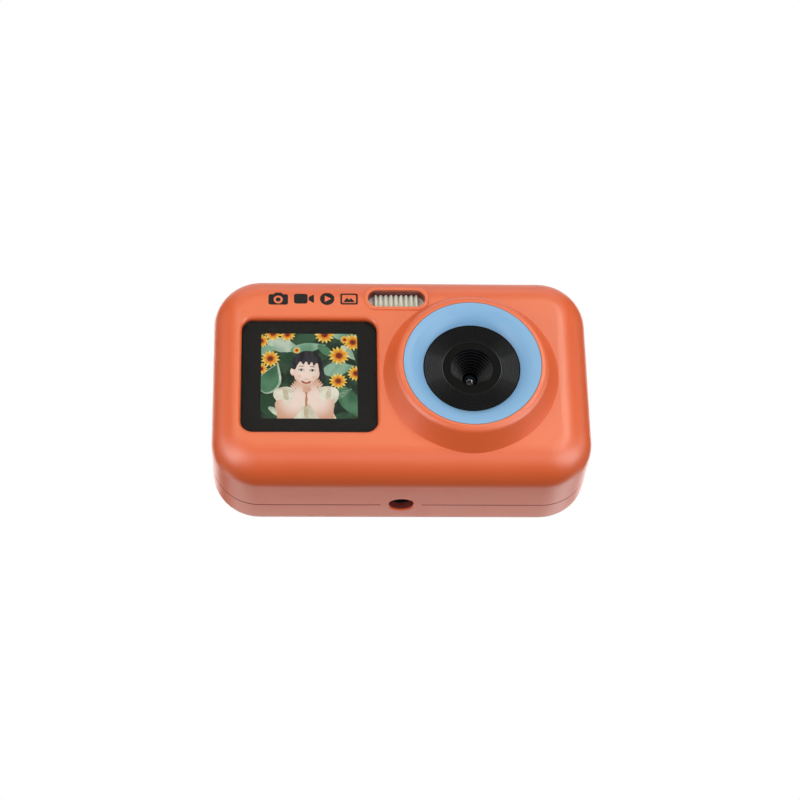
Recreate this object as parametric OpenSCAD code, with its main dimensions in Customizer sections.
// Small action camera with a screen at the front and a larger one at the back.
// Millimetres. X is right and Z is up as the lens side is faced, and Y runs from
// the front to the back. The origin is under the middle of the camera.
// Depths are counted from the flat front face, so a negative depth is in front of it.

/* [Body] */
// Width of the body
body_w = 93.8; // [92:0.2:98]
// Height of the body
body_h = 56.4; // [56:0.2:58]
// Depth of the body, without the lens barrel and the keys
body_d = 28.4; // [28:0.2:30]
// Radius of the body's four corners
corner_r = 12; // [11:0.5:13]
// Radius of the edge round the front face
front_round = 8; // [7:0.5:9]
// Radius of the edge round the back face
rear_round = 4; // [3:0.5:5]
// Wall thickness of the two shells
wall = 2; // [1.8:0.1:2.2]
// Depth of the line where the two shells meet
seam = 18.1; // [18:0.1:19]
// Width of the groove along that line
seam_gap = 0.35; // [0.2:0.05:0.5]

/* [Lens] */
// Place of the lens across the body
lens_x = 17; // [15:0.5:18]
// Height of the lens
lens_z = 27.5; // [26:0.5:29]
// How far the barrel stands out of the front face
barrel_out = 5.6; // [5:0.1:6]
// Radius of the barrel where it meets the front face
barrel_base_r = 21.7; // [21:0.1:22]
// Radius of the coloured ring
ring_r = 16.9; // [16.5:0.1:17]
// Radius of the grooved black disc inside the ring
disc_r = 12; // [11.5:0.1:12.5]
// How far the grooved disc stands out of the front face
disc_out = 2.8; // [2.6:0.1:3]
// Grooves in the disc
groove_count = 11; // [6:1:11]
// Steps of the light baffle
step_count = 9; // [6:1:12]

/* [Front screen] */
// Width of the front window
window_w = 33.6; // [32:0.2:34]
// Height of the front window
window_h = 31.4; // [30:0.2:32]
// Side of the square picture area
picture = 23.8; // [22:0.1:25]

/* [Rear screen] */
// Width of the rear window
rear_window_w = 54; // [52:0.5:54]
// Height of the rear window
rear_window_h = 40.5; // [38:0.5:40.5]

/* [Light] */
// Width of the light's recess
flash_w = 14.4; // [13:0.2:15]
// Height of the light's recess
flash_h = 4.8; // [4.8:0.1:5.2]
// Ribs on the diffuser
rib_count = 9; // [7:1:11]

/* [Controls] */
// Press of the two buttons on the top
top_travel = 0.5; // [0.3:0.1:0.5]
// Press of the five keys on the back
key_travel = 0.4; // [0.2:0.1:0.4]
// How far the keys stand out of the back face
key_out = 0.6; // [0.4:0.1:0.8]

/* [Hidden] */
$fn = 64;

// Places shared by several pieces
total_d = barrel_out + body_d + key_out;
front_y = barrel_out - total_d / 2;          // Y of the flat front face
mid_z = body_h / 2;
window_x = -22.95;
window_z = mid_z - 1.05;
window_in = 1;                               // depth of the window's face
glass_t = 0.6;
mask_t = 0.1;
display_in = window_in + glass_t + mask_t;
picture_z = mid_z - 0.75;
flash_x = -1.1;
flash_z = mid_z + 20.45;
flash_in = 1.9;                              // depth of the diffuser's rib tips
flash_base = 3;                              // depth of the diffuser's plate
flash_back = 4.2;                            // depth of the back of the plate
rear_window_x = 11.5;
rear_glass_in = body_d - 0.1;
rear_display_in = rear_glass_in - 1.2;       // depth of the rear screen's face
screw_x = body_w / 2 - 6.3;                   // the case screws, from the middle
screw_up = mid_z - 8.25;
case_thread_r = 1;
case_head_r = 1.9;
case_head_in = 22.4;                         // depth under the heads
board_thread_r = 0.8;
board_front = 14.4;
board_back = 15.4;
board_boss_at = [[-2.5, 42], [-10.5, 8.6], [36, 44.6], [36, 11.8]];   // across, height
key_x = -29.4;
key_z = 31;
key_step = 9;                                // from the middle key to the others
key_r = 2.7;
ok_r = 4;
flange_t = 1.1;                              // flanges behind the wall, with their gap
flange_gap = 0.05;
key_flange_in = body_d - wall - flange_t;
key_board_back = 22.4;
key_stake_at = [[-41, 20.5], [-41, 41.5], [-17.8, 20.5], [-17.8, 41.5]];
button_gap = 0.2;                            // round the buttons and the keys
speaker_x = -28;
speaker_z = 11.5;
status_z = 47.6;
status_r = 0.8;
top_in = 12.7;                               // depth of the top buttons' middle
shutter_x = -26;
shutter_w = 15;
shutter_d = 6.4;
power_x = 24;
power_r = 3;
microphone_x = 33;
top_board_z = 48.4;
top_plunger_z = top_board_z + 2.1;           // top of the switches' plungers, pressed
top_flange_z = body_h - wall - flange_t;
port_z = mid_z;
port_h = 26.9;                               // height of the side door
port_hinge_x = body_w / 2 - 0.9;
port_hinge_in = 9.2;
port_knuckle_r = 0.9;
port_pin_r = 0.5;
port_free_in = 15.2;                         // depth of the door's free edge
port_t = 1.5;                                // thickness of the door
port_gap = 0.15;
port_middle_in = 12.5;                       // depth of the middle of the door's gasket
port_floor_x = body_w / 2 - 4.5;             // where the sockets open
pocket_from = 10.6;
pocket_to = 14.4;
pocket_h = 24;
usb_z = mid_z + 7.2;
usb_in = 12.75;
card_z = mid_z - 5.3;
card_in = 13.6;
card_t = 0.8;
nut_w = 12;
nut_d = 9;
nut_h = 6;
thread_r = 2.6;
socket_r = 3.1;
seam_stop = 5.1;                             // the groove ends this far from the socket
rebate_from = seam - 1.9;                    // the shells' overlap starts here
seal_t = 0.6;
strap_x = -body_w / 2 + 1.2;
strap_in = 12;
strap_bar_r = 0.8;

// ---------- drawing helpers ----------

// A flat rectangle with round corners, about its centre
module rounded(w, h, r) {
    square([w - 2 * r, h], center = true);
    square([w, h - 2 * r], center = true);
    for (sx = [-1, 1], sz = [-1, 1]) translate([sx * (w / 2 - r), sz * (h / 2 - r)]) circle(r);
}

// A flat shape drawn in X and Z, solid between two depths
module along_depth(from, to)
    translate([0, front_y + to, 0]) rotate([90, 0, 0]) linear_extrude(to - from) children();

// A flat shape drawn in depth and Z, solid between two places across the body
module along_x(from, to)
    translate([from, front_y, 0]) rotate([90, 0, 90]) linear_extrude(to - from) children();

// A flat shape drawn in X and depth, solid between two heights
module along_z(from, to)
    translate([0, front_y, from]) linear_extrude(to - from) children();

// A block between two corners, each given as across, depth, height
module block(a, b)
    translate([a[0], front_y + a[1], a[2]]) cube([b[0] - a[0], b[1] - a[1], b[2] - a[2]]);

// A plate with round corners, facing the front
module plate(x, z, w, h, r, from, to)
    along_depth(from, to) translate([x, z]) rounded(w, h, r);

// A round post or hole along the depth
module post(x, z, r, from, to)
    along_depth(from, to) translate([x, z]) circle(r);

// Its child at each case screw
module at_case_screws()
    for (sx = [-1, 1], sz = [-1, 1])
        translate([sx * screw_x, 0, mid_z + sz * screw_up]) children();

// Its child at each place of a list, given as across and height
module at_each(places)
    for (at = places) translate([at[0], 0, at[1]]) children();

// The middles of the four arrow keys, from the right one round
function arrow_keys() =
    [for (k = [0:3]) [key_x + key_step * cos(90 * k), key_z + key_step * sin(90 * k)]];

// A turned piece, drawn as radius and height in front of the face
module turned(x, z)
    translate([x, front_y, z]) rotate([90, 0, 0]) rotate_extrude() children();

// A solid rectangle with round corners whose edge follows the child's profile,
// drawn as distance from the corner's centre and depth; d is the full depth
module swept(w, h, r, d) {
    cw = w - 2 * r;
    ch = h - 2 * r;
    translate([-cw / 2, 0, -ch / 2]) cube([cw, d, ch]);
    for (side = [0, 1]) {
        mirror([side, 0, 0]) translate([cw / 2, 0, -ch / 2]) linear_extrude(ch) children();
        mirror([0, 0, side]) translate([0, 0, ch / 2])
            rotate([0, -90, 0]) linear_extrude(cw, center = true) children();
    }
    for (k = [0:3])
        translate([(k == 0 || k == 3 ? 1 : -1) * cw / 2, 0, (k > 1 ? 1 : -1) * ch / 2])
            rotate([-90, 0, 0]) rotate([0, 0, 90 * k]) rotate_extrude(angle = 90) children();
}

// Edge profile with its front edge rounded outwards
module rounded_edge(r, f, d) {
    translate([0, f]) square([r, d - f]);
    square([r - f, f]);
    intersection() {
        translate([r - f, f]) circle(f);
        translate([r - f, 0]) square(f);
    }
}

// Edge profile that flares outwards at its front, to cut a recess with a soft rim
module flared_edge(r, f, d) {
    square([r, d]);
    difference() {
        square([r + f, f]);
        translate([r + f, f]) circle(f);
    }
}

// ---------- shells ----------

// Half of the body's outer form, inset by t, from its face to the depth d
module half_form(t, round, d)
    swept(body_w - 2 * t, body_h - 2 * t, corner_r - t, d) rounded_edge(corner_r - t, round - t, d);

// A ring that follows the body's outline between two insets
module outline_ring(outer, inner, from, to) {
    difference() {
        plate(0, mid_z, body_w - 2 * outer, body_h - 2 * outer, corner_r - outer, from, to);
        plate(0, mid_z, body_w - 2 * inner, body_h - 2 * inner, corner_r - inner, from - 1, to + 1);
    }
}

// The barrel: a conical wall with a round lip, open for the ring's seat
module barrel() {
    lip_r = 1.9;
    slope = 60;
    foot = 1.2;
    lip_centre = barrel_base_r - (barrel_out - lip_r * (1 - cos(slope))) / tan(slope)
        - lip_r * sin(slope);
    turned(lens_x, lens_z) difference() {
        union() {
            polygon([[9, -foot], [barrel_base_r + foot / tan(slope), -foot],
                [lip_centre + lip_r * sin(slope), barrel_out - lip_r * (1 - cos(slope))],
                [lip_centre, barrel_out - lip_r], [lip_centre, barrel_out], [9, barrel_out]]);
            translate([lip_centre, barrel_out - lip_r]) circle(lip_r);
        }
        translate([8, 1.6]) square([ring_r + 0.05 - 8, barrel_out]);
    }
}

module front_shell_solid() {
    translate([0, front_y, mid_z]) difference() {
        half_form(0, front_round, seam - seam_gap / 2);
        translate([0, wall, 0]) half_form(wall, front_round, seam);
    }
    barrel();
    // collar round the light
    translate([flash_x, front_y - 0.25, flash_z])
        swept(flash_w + 1.9, flash_h + 1.9, flash_h / 2 + 0.7, 1.5)
            rounded_edge(flash_h / 2 + 0.7, 0.25, 1.5);
    plate(flash_x, flash_z, flash_w + 2.4, flash_h + 2.4, flash_h / 2 + 1, 1.6, 4.4);
    // seat behind the front window
    plate(window_x, window_z, window_w + 3.4, window_h + 3.4, 4.5, 1.8, 3.4);
    at_case_screws() post(0, 0, 2.5, 2.4, 16.9);
    at_each(board_boss_at) post(0, 0, 2.2, 1.8, board_front);
    // hangers of the top board
    for (x = [-12, 8]) along_z(top_board_z, body_h - 1) translate([x, top_in]) circle(1.5);
    // walls behind the side door and behind the strap bar
    block([port_floor_x - 1.2, 8.2, port_z - 14.5], [body_w / 2 - 1, 15.9, port_z + 14.5]);
    block([-body_w / 2 + 1, 8.3, port_z - 5.7], [-body_w / 2 + 4.7, 15.7, port_z + 5.7]);
    // cage of the tripod nut
    for (s = [-1, 1]) block([s * 6.7 - 0.6, 13, 1], [s * 6.7 + 0.6, 17.9, 7]);
    block([-7.3, 12.4, 1], [7.3, seam - nut_d / 2, 6]);
    block([-seam_stop, seam - 1, 0], [seam_stop, seam, wall]);
}

module front_shell() color("darkorange") difference() {
    front_shell_solid();
    turned(lens_x, lens_z) translate([0, -3]) square([9, 5]);
    // window recess and the opening behind it
    translate([window_x, front_y - 0.001, window_z])
        swept(window_w, window_h, 3, display_in + 0.051) flared_edge(3, 1, display_in + 0.051);
    plate(window_x, picture_z, 28.2, 27.4, 0.6, 1, 4);
    plate(flash_x, flash_z, flash_w, flash_h, flash_h / 2 - 0.05, -2, 5);
    // overlap with the rear shell
    outline_ring(1, wall, rebate_from, seam + 1);
    at_case_screws() post(0, 0, case_thread_r, 11.5, seam);
    at_each(board_boss_at) post(0, 0, board_thread_r, 8.5, board_front + 1);
    // top buttons, microphone and board hangers
    along_z(body_h - 3, body_h + 1) {
        translate([shutter_x, top_in])
            rounded(shutter_w + 2 * button_gap, shutter_d + 2 * button_gap, shutter_d / 2 + 0.15);
        translate([power_x, top_in]) circle(power_r + button_gap);
        translate([microphone_x, top_in]) circle(0.6);
    }
    side_door_pocket();
    strap_pocket();
    tripod_socket();
}

// Everything the side door closes over, with the hinge's channel and its pin holes
module side_door_pocket() {
    edge = port_h / 2 + port_gap;
    front = 8;
    block([body_w / 2 - port_t - 0.1, front, port_z - edge],
        [body_w / 2 + 1, port_free_in + port_gap, port_z + edge]);
    block([body_w / 2 - 2, front, port_z - edge], [body_w / 2, port_hinge_in + 1.2, port_z + edge]);
    block([port_floor_x, pocket_from, port_z - pocket_h / 2],
        [body_w / 2, pocket_to, port_z + pocket_h / 2]);
    along_z(port_z - edge - 1.4, port_z + edge + 1.4)
        translate([port_hinge_x, port_hinge_in]) circle(port_pin_r);
    along_x(port_floor_x - 3, port_floor_x + 1) translate([usb_in, usb_z]) rounded(3.5, 9.3, 1.6);
    block([port_floor_x - 3, card_in - 0.6, card_z - 5.8],
        [port_floor_x + 1, card_in + 0.6, card_z + 5.8]);
    // finger scoop beside the free edge
    along_x(body_w / 2 - 0.7, body_w / 2 + 1) translate([port_free_in, port_z]) circle(2.2);
}

// Slot in the side with a steel bar across it, for a wrist strap
module strap_pocket() {
    block([-body_w / 2 - 1, 9.5, port_z - 4.5], [-body_w / 2 + 3.5, 14.5, port_z + 4.5]);
    along_z(port_z - 6, port_z + 6) translate([strap_x, strap_in]) circle(strap_bar_r);
}

// Hole in the bottom wall under the tripod nut, with a small chamfer at its mouth
module tripod_socket() {
    translate([0, front_y + seam, -1]) cylinder(r = socket_r, h = wall + 1.01);
    translate([0, front_y + seam, -0.01]) cylinder(r1 = socket_r + 0.31, r2 = socket_r, h = 0.3);
}

module rear_shell_solid() {
    translate([0, front_y + body_d, mid_z]) mirror([0, 1, 0]) difference() {
        half_form(0, rear_round, body_d - seam - seam_gap / 2);
        translate([0, wall, 0]) half_form(wall, rear_round, body_d - seam);
    }
    // the tongue stops at both sides of the tripod hole
    difference() {
        outline_ring(1.1, wall - 0.1, rebate_from + 0.65, seam + 1);
        block([-seam_stop, rebate_from, -1], [seam_stop, seam, wall + 1]);
    }
    plate(rear_window_x, mid_z, rear_window_w + 1, rear_window_h + 1, 4, 25.6, body_d - 1.5);
    at_case_screws() post(0, 0, 2.5, 17, body_d - 1);
    at_each(key_stake_at) {
        post(0, 0, 1.2, key_board_back, body_d - 1);
        post(0, 0, 0.6, 21.2, key_board_back);
    }
    for (s = [-1, 1]) block([s * 6.7 - 0.6, 18.3, 1], [s * 6.7 + 0.6, 23.2, 7]);
    block([-7.3, seam + nut_d / 2, 1], [7.3, seam + nut_d / 2 + 1.2, 6]);
    block([-seam_stop, seam, 0], [seam_stop, seam + 1, wall]);
}

module rear_shell() color("darkorange") difference() {
    rear_shell_solid();
    plate(rear_window_x, mid_z, rear_window_w, rear_window_h, 4, rear_display_in, body_d + 1);
    plate(rear_window_x, mid_z, 50.4, 36.4, 0.6, 25, body_d);
    at_case_screws() {
        post(0, 0, case_head_r + 0.2, case_head_in, body_d + 1);
        post(0, 0, case_thread_r + 0.15, 16, case_head_in + 1);
    }
    key_holes();
    for (i = [0:6], j = [0:2]) if ((i + j) % 2 == 0)
        post(speaker_x + 1.9 * (i - 3), speaker_z + 2.1 * (j - 1), 0.6, body_d - 3, body_d + 1);
    post(key_x, status_z, status_r, body_d - 3, body_d + 1);
    tripod_socket();
}

module key_holes() {
    post(key_x, key_z, ok_r + button_gap, body_d - 3, body_d + 1);
    at_each(arrow_keys()) post(0, 0, key_r + button_gap, body_d - 3, body_d + 1);
}

// A soft ring in the shells' overlap, open where the tripod hole crosses it
module shell_seal() color("dimgray") difference() {
    outline_ring(1.05, wall - 0.05, rebate_from, rebate_from + seal_t);
    block([-seam_stop, rebate_from - 1, -1], [seam_stop, seam, wall + 1]);
}

// ---------- front screen ----------

module front_window() color("lightgray")
    plate(window_x, window_z, window_w - 0.1, window_h - 0.1, 2.95, window_in, window_in + glass_t);

module front_window_mask() color("black") difference() {
    plate(window_x, window_z, window_w - 0.1, window_h - 0.1, 2.95, window_in + glass_t, display_in);
    along_depth(1, 4) translate([window_x, picture_z]) square(picture, center = true);
}

module front_display() color("darkslategray")
    plate(window_x, picture_z, 28, 27.2, 0.5, display_in, display_in + 2);

module front_display_flex() color("orange") {
    block([-26, 3.7, 11.4], [-18, 3.85, 15.5]);
    block([-26, 3.7, 11.4], [-18, 14.2, 11.55]);
    block([-26, 14.05, 11.4], [-18, 14.2, 15]);
}

// ---------- lens ----------

module lens_trim_ring() color("lightskyblue") {
    // the dish is one arc: flat at the outer edge, steep at the disc
    span = ring_r - disc_r;
    drop = barrel_out - disc_out;
    arc_r = (span * span + drop * drop) / (2 * drop);
    turned(lens_x, lens_z) intersection() {
        translate([disc_r, 1.6]) square([span, barrel_out - 1.6]);
        translate([ring_r, barrel_out - arc_r]) circle(arc_r, $fn = 128);
    }
}

module lens_bezel() color("black") {
    pitch = 0.38;
    groove = 0.1;
    first = disc_r - 0.5;
    turned(lens_x, lens_z) polygon(concat(
        [[6.2, 1.6], [disc_r - 0.05, 1.6], [disc_r - 0.05, disc_out]],
        [for (i = [0:groove_count - 1], k = [1, 0, -1])
            [first - i * pitch + k * groove, disc_out - (k == 0 ? 0.14 : 0)]],
        [[7.15, disc_out], [7.15, 2.2], [6.2, 2.2]]));
}

module lens_baffle() color("black") {
    top_r = 5.2;
    end_r = 1.5;
    top = 2.75;
    end = -3.9;
    dr = (top_r - end_r) / step_count;
    dh = (top - end) / step_count;
    turned(lens_x, lens_z) polygon(concat(
        [for (i = [0:step_count - 1], k = [0, 1]) [top_r - i * dr, top - (i + k) * dh]],
        [[end_r, end], [2.7, end], [6.1, 1.5], [6.1, 2.2], [7.1, 2.2], [7.1, top]]));
}

module front_lens_element() color("lightcyan") turned(lens_x, lens_z) intersection() {
    translate([0, -6.1]) circle(2.6);
    translate([0, -5.6]) square([1.9, 3]);
}

module rear_lens_element() color("lightcyan") turned(lens_x, lens_z) intersection() {
    translate([0, -9.2]) square([4.1, 2.6]);
    translate([0, -13.5]) circle(6.6);
}

module lens_barrel() color("dimgray") turned(lens_x, lens_z)
    polygon([[1.95, -4], [6, -4], [6, -12.2], [4.15, -12.2], [4.15, -6], [1.95, -6]]);

module lens_holder() color("dimgray") difference() {
    union() {
        plate(lens_x, lens_z, 15, 15, 1, 10, board_front);
        post(lens_x, lens_z, 7.2, 7, 10.5);
    }
    post(lens_x, lens_z, 6.05, 6, 12.4);
    plate(lens_x, lens_z, 9.6, 9.6, 0.5, 12.4, board_front + 1);
}

module infrared_filter() color("steelblue") plate(lens_x, lens_z, 9.5, 9.5, 0.4, 12.4, 12.8);

module image_sensor() color("darkslateblue") {
    plate(lens_x, lens_z, 8, 7, 0.3, 13.6, board_front);
    plate(lens_x, lens_z, 6.2, 4.8, 0.2, 13.4, 13.6);
}

// ---------- light ----------

module flash_diffuser() color("gainsboro") {
    pitch = (flash_w - 2.8) / rib_count;
    rib_h = flash_h - 0.5;
    plate(flash_x, flash_z, flash_w - 0.1, flash_h - 0.1, flash_h / 2 - 0.1, flash_base, flash_back);
    for (i = [0:rib_count - 1])
        translate([flash_x + (i - rib_count / 2) * pitch, front_y + flash_base + 0.01, flash_z])
            linear_extrude(rib_h, center = true) polygon([[0.02, 0], [pitch - 0.02, 0],
                [pitch * 0.62, flash_in - flash_base], [pitch * 0.38, flash_in - flash_base]]);
}

module flash_reflector() color("silver") difference() {
    plate(flash_x, flash_z, flash_w - 0.4, flash_h - 0.2, flash_h / 2 - 0.2, flash_back, 7);
    for (s = [-1, 1]) translate([flash_x + 3.4 * s, front_y + flash_back - 0.01, flash_z])
        rotate([-90, 0, 0]) cylinder(r1 = 2.1, r2 = 1.6, h = 3);
}

module flash_leds() color("khaki")
    for (s = [-1, 1]) plate(flash_x + 3.4 * s, flash_z, 2, 2, 0.2, 5.6, 7);

module flash_board() color("darkgreen") plate(flash_x, flash_z, 17, 5.4, 0.5, 7, 8);

// ---------- boards and power ----------

module main_board() color("darkgreen") difference() {
    block([-42, board_front, 5.6], [40.9, board_back, 46.6]);
    at_case_screws() post(0, 0, 3.1, 14, 16);
    at_each(board_boss_at) post(0, 0, board_thread_r + 0.2, 14, 16);
    block([-7.8, 14, 5], [7.8, 16, 10.5]);
}

// A chip resistor or capacitor, from its lower left corner
module small_component(x, z) block([x, board_back, z], [x + 1.6, board_back + 0.8, z + 0.9]);

module board_components() color("dimgray") {
    block([-24, board_back, 20], [-14, board_back + 1.2, 30]);
    block([-38, board_back, 22], [-30, board_back + 1, 34]);
    block([-26, 13.2, 15.2], [-18, board_front, 17.4]);
    block([4, board_back, 38], [10, board_back + 1.4, 44]);
    for (i = [0:5]) small_component(-36 + 3.2 * i, 38.5);
    for (i = [0:4]) small_component(14 + 3.2 * i, 40);
}

module processor_shield() color("silver") plate(15, 25, 22, 18, 1, board_back, board_back + 1.8);

module battery() color("lightsteelblue") {
    plate(-24, mid_z - 0.2, 35, 31, 2.4, 5.2, 11.7);
    block([-30, 7, 43.2], [-18, 10, 44.8]);
}

module battery_pad() color("slategray") plate(-23, mid_z - 0.2, 26, 22, 1, 3.9, 5.2);

// ---------- rear screen ----------

module rear_window() color("lightgray")
    plate(rear_window_x, mid_z, rear_window_w - 0.1, rear_window_h - 0.1, 3.95,
        rear_glass_in - 1, rear_glass_in);

module rear_window_mask() color("black") difference() {
    plate(rear_window_x, mid_z, rear_window_w - 0.1, rear_window_h - 0.1, 3.95,
        rear_display_in, rear_glass_in - 1);
    along_depth(25, 30) translate([rear_window_x, mid_z]) square([43.2, 32.4], center = true);
}

module rear_display() color("darkslategray")
    plate(rear_window_x, mid_z, 50, 36, 0.5, rear_display_in - 2.2, rear_display_in);

module display_foam() color("slategray")
    plate(rear_window_x, mid_z, 48, 34, 1, 23.9, rear_display_in - 2.2);

module mid_frame() color("gray") {
    difference() {
        plate(rear_window_x, mid_z, 50, 36, 1.5, 22.7, 23.9);
        for (s = [-1, 1]) plate(rear_window_x + 12 * s, mid_z, 18, 26, 2, 22, 25);
    }
    for (x = [-10, 33], z = [14, 42.5]) post(x, z, 1.6, board_back, 22.8);
}

module rear_display_flex() color("orange") {
    block([35.7, 24.65, 24], [37.4, 24.8, 34]);
    block([37.25, 15.5, 24], [37.4, 24.8, 34]);
    block([33.4, 15.5, 24], [37.4, 15.65, 34]);
}

// ---------- controls ----------

module key_board() color("darkgreen") difference() {
    plate(-29.5, 31, 25.6, 25, 1, key_board_back - 0.8, key_board_back);
    at_each(key_stake_at) post(0, 0, 0.65, 21, 23);
}

module key_switches() color("silver") at_each(concat([[key_x, key_z]], arrow_keys())) {
    plate(0, 0, 3.6, 3.6, 0.3, key_board_back, key_board_back + 1.5);
    post(0, 0, 0.9, key_board_back + 1.4, key_flange_in - 0.15 - key_travel);
}

module key_flex() color("orange") {
    block([-30, 21.3, 16.8], [-24, 21.45, 20]);
    block([-30, 15.5, 16.8], [-24, 21.45, 16.95]);
    block([-30, 15.5, 12.6], [-24, 15.65, 16.95]);
}

// A key of the back: a cap with a soft edge, a flange behind the wall and a short stem
module key(x, z, r) color("darkorange") {
    edge = 0.4;
    turned(x, z) {
        translate([0, edge - body_d - key_out]) square([r, wall + key_out + 0.15 - edge]);
        translate([0, -body_d - key_out]) square([r - edge, edge + 0.1]);
        intersection() {
            translate([r - edge, edge - body_d - key_out]) circle(edge);
            translate([r - edge, -body_d - key_out]) square(edge);
        }
    }
    post(x, z, r + 0.8, key_flange_in, body_d - wall - flange_gap);
    post(x, z, 1, key_flange_in - 0.1, key_flange_in);
}

module up_key() key(key_x, key_z + key_step, key_r);
module down_key() key(key_x, key_z - key_step, key_r);
module left_key() key(key_x - key_step, key_z, key_r);
module right_key() key(key_x + key_step, key_z, key_r);
module ok_key() key(key_x, key_z, ok_r);

module top_board() color("darkgreen") along_z(top_board_z - 0.8, top_board_z)
    translate([-2.5, top_in]) rounded(65, 7, 1);

module top_switches() color("silver") for (x = [shutter_x, power_x]) {
    along_z(top_board_z, top_board_z + 1.6) translate([x, top_in]) rounded(4.6, 4.6, 0.3);
    along_z(top_board_z + 1.5, top_plunger_z) translate([x, top_in]) circle(1.2);
}

// Flange behind the top wall and stem down to the switch, for a button of the top
module top_stem(x) {
    along_z(top_flange_z, body_h - wall - flange_gap) translate([x, top_in]) children();
    along_z(top_plunger_z + top_travel + 0.05, top_flange_z) translate([x, top_in]) circle(1.5);
}

module shutter_button() color("lightskyblue") {
    out = 1.2;
    edge = 0.8;
    cap = out + wall + flange_t;
    end_r = shutter_d / 2 - 0.05;
    translate([shutter_x, front_y + top_in, body_h + out]) rotate([-90, 0, 0])
        swept(shutter_w, shutter_d, end_r, cap) rounded_edge(end_r, edge, cap);
    top_stem(shutter_x) rounded(shutter_w + 1.6, shutter_d + 1.6, shutter_d / 2 + 0.7);
}

module power_button() color("darkorange") {
    edge = 0.5;
    edge_z = body_h + 0.8 - edge;
    along_z(top_flange_z, edge_z) translate([power_x, top_in]) circle(power_r);
    translate([power_x, front_y + top_in, edge_z]) rotate_extrude() {
        square([power_r - edge, edge]);
        intersection() {
            translate([power_r - edge, 0]) circle(edge);
            translate([power_r - edge, 0]) square(edge);
        }
    }
    top_stem(power_x) circle(power_r + 0.9);
}

// ---------- side door and sockets ----------

module port_door() color("darkorange") {
    low = port_z - port_h / 2;
    high = port_z + port_h / 2;
    difference() {
        union() {
            block([body_w / 2 - port_t, port_hinge_in, low], [body_w / 2, port_free_in, high]);
            along_z(low, high) translate([port_hinge_x, port_hinge_in]) circle(port_knuckle_r);
        }
        along_z(low - 1, high + 1) translate([port_hinge_x, port_hinge_in]) circle(port_pin_r + 0.04);
    }
}

module port_door_gasket() color("dimgray") difference() {
    along_x(body_w / 2 - port_t - 0.8, body_w / 2 - port_t)
        translate([port_middle_in, port_z]) rounded(3.2, pocket_h - 0.6, 1);
    along_x(body_w / 2 - port_t - 2, body_w / 2 - 1)
        translate([port_middle_in, port_z]) rounded(1.8, pocket_h - 2, 0.5);
}

module port_hinge_pin() color("silver")
    along_z(port_z - port_h / 2 - 1.5, port_z + port_h / 2 + 1.5)
        translate([port_hinge_x, port_hinge_in]) circle(port_pin_r);

module usb_socket() color("silver") {
    difference() {
        along_x(35, port_floor_x - 0.1) translate([usb_in, usb_z]) rounded(3.2, 8.9, 1.5);
        along_x(36, port_floor_x + 1) translate([usb_in, usb_z]) rounded(2.6, 8.3, 1.2);
    }
    block([35.5, usb_in - 0.35, usb_z - 3.3], [port_floor_x - 0.6, usb_in + 0.35, usb_z + 3.3]);
}

module card_socket() color("silver") difference() {
    block([26, card_in - 0.7, card_z - 6.4], [41, board_front, card_z + 6.4]);
    block([26.6, card_in - 0.45, card_z - 5.6], [42, card_in + 0.45, card_z + 5.6]);
}

module memory_card() color("black") along_depth(card_in - card_t / 2, card_in + card_t / 2)
    translate([port_floor_x - 15.1, card_z - 5.5])
        polygon([[0, 0], [15, 0], [15, 11], [5.5, 11], [4.6, 10], [3.6, 10], [3.6, 9.4], [0, 9.4]]);

// ---------- sound, light and fixings ----------

module speaker() color("dimgray") {
    plate(speaker_x, speaker_z, 16, 9.6, 1, 23.6, body_d - wall);
    plate(speaker_x, speaker_z, 12, 6.4, 1, 23, 23.6);
}

module microphone() color("silver")
    along_z(body_h - wall - 1.5, body_h - wall) translate([microphone_x, top_in]) circle(2);

module status_light_pipe() color("white") {
    post(key_x, status_z, status_r, 25, body_d + 0.1);
    post(key_x, status_z, status_r + 0.6, 24, 25);
}

module status_led() color("lightgreen") plate(key_x, status_z, 2, 1.6, 0.2, 23, 24);

module tripod_nut() color("silver") difference() {
    block([-nut_w / 2, seam - nut_d / 2, wall], [nut_w / 2, seam + nut_d / 2, wall + nut_h]);
    translate([0, front_y + seam, 0]) cylinder(r = thread_r, h = 20);
}

// A screw along the depth, its head behind; the driver's cross is cut in the head
module screw(r, head_r, head_in, tip_in) difference() {
    union() {
        post(0, 0, r, tip_in, head_in + 0.1);
        post(0, 0, head_r, head_in, head_in + 1.3);
    }
    for (turn = [0, 90]) along_depth(head_in + 0.5, head_in + 2)
        rotate(turn) square([head_r * 1.3, 0.5], center = true);
}

module case_screws() color("silver")
    at_case_screws() screw(case_thread_r, case_head_r, case_head_in, 12);

module board_screws() color("silver")
    at_each(board_boss_at) screw(board_thread_r, board_thread_r * 2, board_back, 9);

module strap_bar() color("silver")
    along_z(port_z - 6, port_z + 6) translate([strap_x, strap_in]) circle(strap_bar_r);

front_shell();
rear_shell();
shell_seal();
front_window();
front_window_mask();
front_display();
lens_trim_ring();
lens_bezel();
lens_baffle();
front_lens_element();
rear_lens_element();
lens_barrel();
lens_holder();
infrared_filter();
image_sensor();
flash_diffuser();
flash_reflector();
flash_leds();
flash_board();
main_board();
board_components();
processor_shield();
battery();
battery_pad();
rear_window();
rear_window_mask();
rear_display();
display_foam();
mid_frame();
key_board();
key_switches();
top_board();
top_switches();
usb_socket();
card_socket();
port_hinge_pin();
speaker();
microphone();
tripod_nut();
case_screws();
board_screws();
strap_bar();
status_light_pipe();
status_led();
front_display_flex();
rear_display_flex();
key_flex();
shutter_button();
power_button();
up_key();
down_key();
left_key();
right_key();
ok_key();
port_door();
port_door_gasket();
memory_card();
